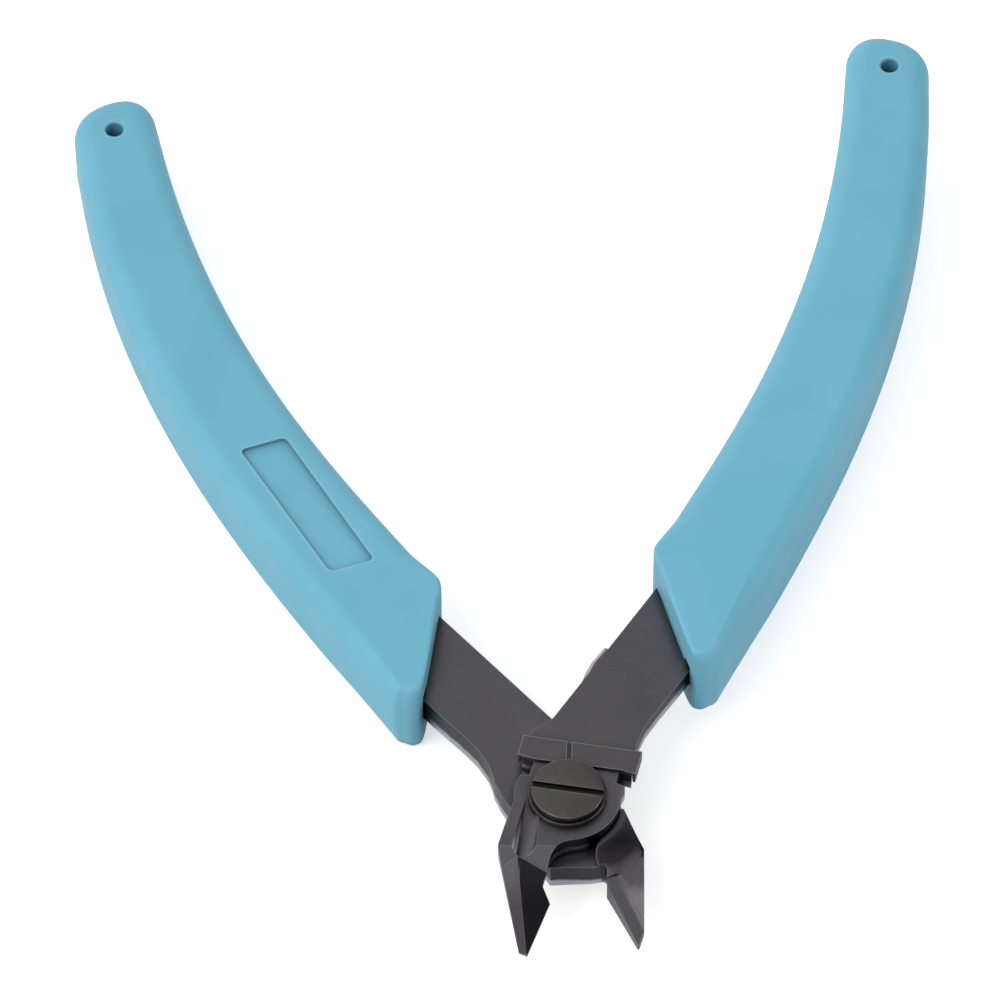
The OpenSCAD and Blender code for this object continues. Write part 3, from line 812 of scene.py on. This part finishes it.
for grip, body, sign in (("left_grip", "lower", -1), ("right_grip", "upper", 1)):
    sleeve = grip_body(grip + "_sleeve")
    tang_low = LAP_GAP - GRIP_SHIFT if sign > 0 else GRIP_SHIFT - LOWER_T
    cut_cavity(sleeve, tang_low, UPPER_T if sign > 0 else LOWER_T)
    cut_end_hole(sleeve)
    if grip == "left_grip":
        cut_recess(sleeve)
    sleeve.data.transform(Matrix.Diagonal((sign, 1, 1, 1)))
    if sign < 0:
        sleeve.data.flip_normals()
    sleeve.data.transform(Matrix.Rotation(-sign * HALF_ANGLE, 4, "Z"))
    sleeve.data.transform(Matrix.Translation((0, 0, (LAP_Z + sign * GRIP_SHIFT) * MM)))
    tidy(sleeve)
    shade_smooth(sleeve)
    sleeve.data.set_sharp_from_angle(angle=SHARP_TURN)
    weigh_normals(sleeve)
    finish_piece(sleeve, SOFT_BLUE, body, "soft_grip", grip)


# Floor, light and camera

# Metres
FLOOR_HALF = 4.0
FLOOR_DROP = 0.0001

# Light that only the camera sees, so that the floor is as white as the photograph's ground
WHITE_LIFT = 0.55


def stage_floor():
    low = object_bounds()[0].z - FLOOR_DROP
    corners = [(-FLOOR_HALF, -FLOOR_HALF, low), (FLOOR_HALF, -FLOOR_HALF, low),
               (FLOOR_HALF, FLOOR_HALF, low), (-FLOOR_HALF, FLOOR_HALF, low)]
    floor = new_object("floor", corners, [(0, 1, 2, 3)], scale=1.0)
    material, tree, shader = principled("pale_floor", {"Roughness": 0.9, "Specular IOR Level": 0.1})
    place = node(tree, "TexCoord", {}).outputs["Object"]
    clouds = noise(tree, place, 3.0, 2.0)
    shade = blend_colors(tree, clouds, (0.81, 0.81, 0.81, 1), (0.84, 0.84, 0.84, 1))
    tree.links.new(shade, shader.inputs["Base Color"])
    shader.inputs["Emission Color"].default_value = (1, 1, 1, 1)
    seen = node(tree, "LightPath", {}).outputs["Is Camera Ray"]
    tree.links.new(times(tree, seen, WHITE_LIFT), shader.inputs["Emission Strength"])
    floor.data.materials.append(material)


def area_light(name, place, target, size, power):
    light = bpy.data.lights.new(name, "AREA")
    light.shape = "RECTANGLE"
    light.size, light.size_y = size
    light.energy = power
    obj = bpy.data.objects.new(name, light)
    scene.collection.objects.link(obj)
    obj.location = place
    obj.rotation_mode = "QUATERNION"
    obj.rotation_quaternion = (Vector(target) - Vector(place)).to_track_quat("-Z", "Y")


PALE_SIDE = (-0.9, -0.1, 0.42)
DIM_LIGHT = (0.07, 0.07, 0.075, 1)
ROOM_LIGHT = (0.74, 0.74, 0.75, 1)
PALE_LIGHT = (1.0, 1.0, 1.0, 1)


def studio_world():
    """Soft room light that is palest over the tool's left side and dim low on its right."""
    world = bpy.data.worlds.new("studio")
    scene.world = world
    world.use_nodes = True
    tree = world.node_tree
    place = node(tree, "TexCoord", {}).outputs["Generated"]
    toward = Vector(PALE_SIDE).normalized()
    share = node(tree, "VectorMath", {0: place, 1: toward}, operation="DOT_PRODUCT").outputs["Value"]
    dim = stretch(tree, share, -0.22, 0.26)
    color = blend_colors(tree, dim, DIM_LIGHT, ROOM_LIGHT)
    pale = stretch(tree, share, 0.26, 0.85)
    color = blend_colors(tree, pale, color, PALE_LIGHT)
    tree.links.new(color, tree.nodes["Background"].inputs["Color"])


def camera_basis(azimuth, elevation, roll):
    """The camera's right, up and back directions."""
    a, e = math.radians(azimuth), math.radians(elevation)
    back = Vector((math.sin(a) * math.cos(e), -math.cos(a) * math.cos(e), math.sin(e)))
    right = Vector((0, 0, 1)).cross(back).normalized()
    up = back.cross(right)
    r = math.radians(roll)
    return (math.cos(r) * right + math.sin(r) * up, -math.sin(r) * right + math.cos(r) * up, back)


# Azimuth, elevation and roll in degrees
CAMERA_ANGLES = (-4.06, 53.08, -0.17)

# Pixels, and pixels for each metre
IMAGE = 1000
FOCAL_PX = 7740
PIVOT_PX = (567.5, 790.0)
SCALE_PX = 9.5 / MM

# Millimetres
SENSOR_MM = 36
PIVOT_RISE = 3.45


def photo_camera():
    """Camera at the photograph's angle; the screw's face centre falls on PIVOT_PX."""
    right, up, back = camera_basis(*CAMERA_ANGLES)
    distance = FOCAL_PX / SCALE_PX
    pivot = Vector((0, 0, (LAP_Z + PIVOT_RISE) * MM))
    seen_x = (PIVOT_PX[0] - IMAGE / 2) / SCALE_PX
    seen_y = (IMAGE / 2 - PIVOT_PX[1]) / SCALE_PX
    place = pivot - right * seen_x - up * seen_y + back * distance
    data = bpy.data.cameras.new("camera")
    data.sensor_width = SENSOR_MM
    data.lens = SENSOR_MM * FOCAL_PX / IMAGE
    data.clip_start = 0.01
    data.clip_end = 20
    obj = bpy.data.objects.new("camera", data)
    scene.collection.objects.link(obj)
    matrix = Matrix((right, up, back)).transposed().to_4x4()
    matrix.translation = place
    obj.matrix_world = matrix
    scene.camera = obj


# Places and sizes of the lights in metres, and their power in watts
CENTRE = (0, 0.04, 0)

stage_floor()
area_light("key", place=(-0.5, -0.25, 0.75), target=CENTRE, size=(0.5, 0.5), power=2.7)
area_light("fill", place=(0.75, -0.1, 0.3), target=CENTRE, size=(0.5, 0.5), power=2.4)
area_light("back", place=(0.1, 0.8, 0.3), target=CENTRE, size=(1.0, 0.3), power=1.2)
studio_world()
photo_camera()
scene.view_settings.view_transform = "Standard"
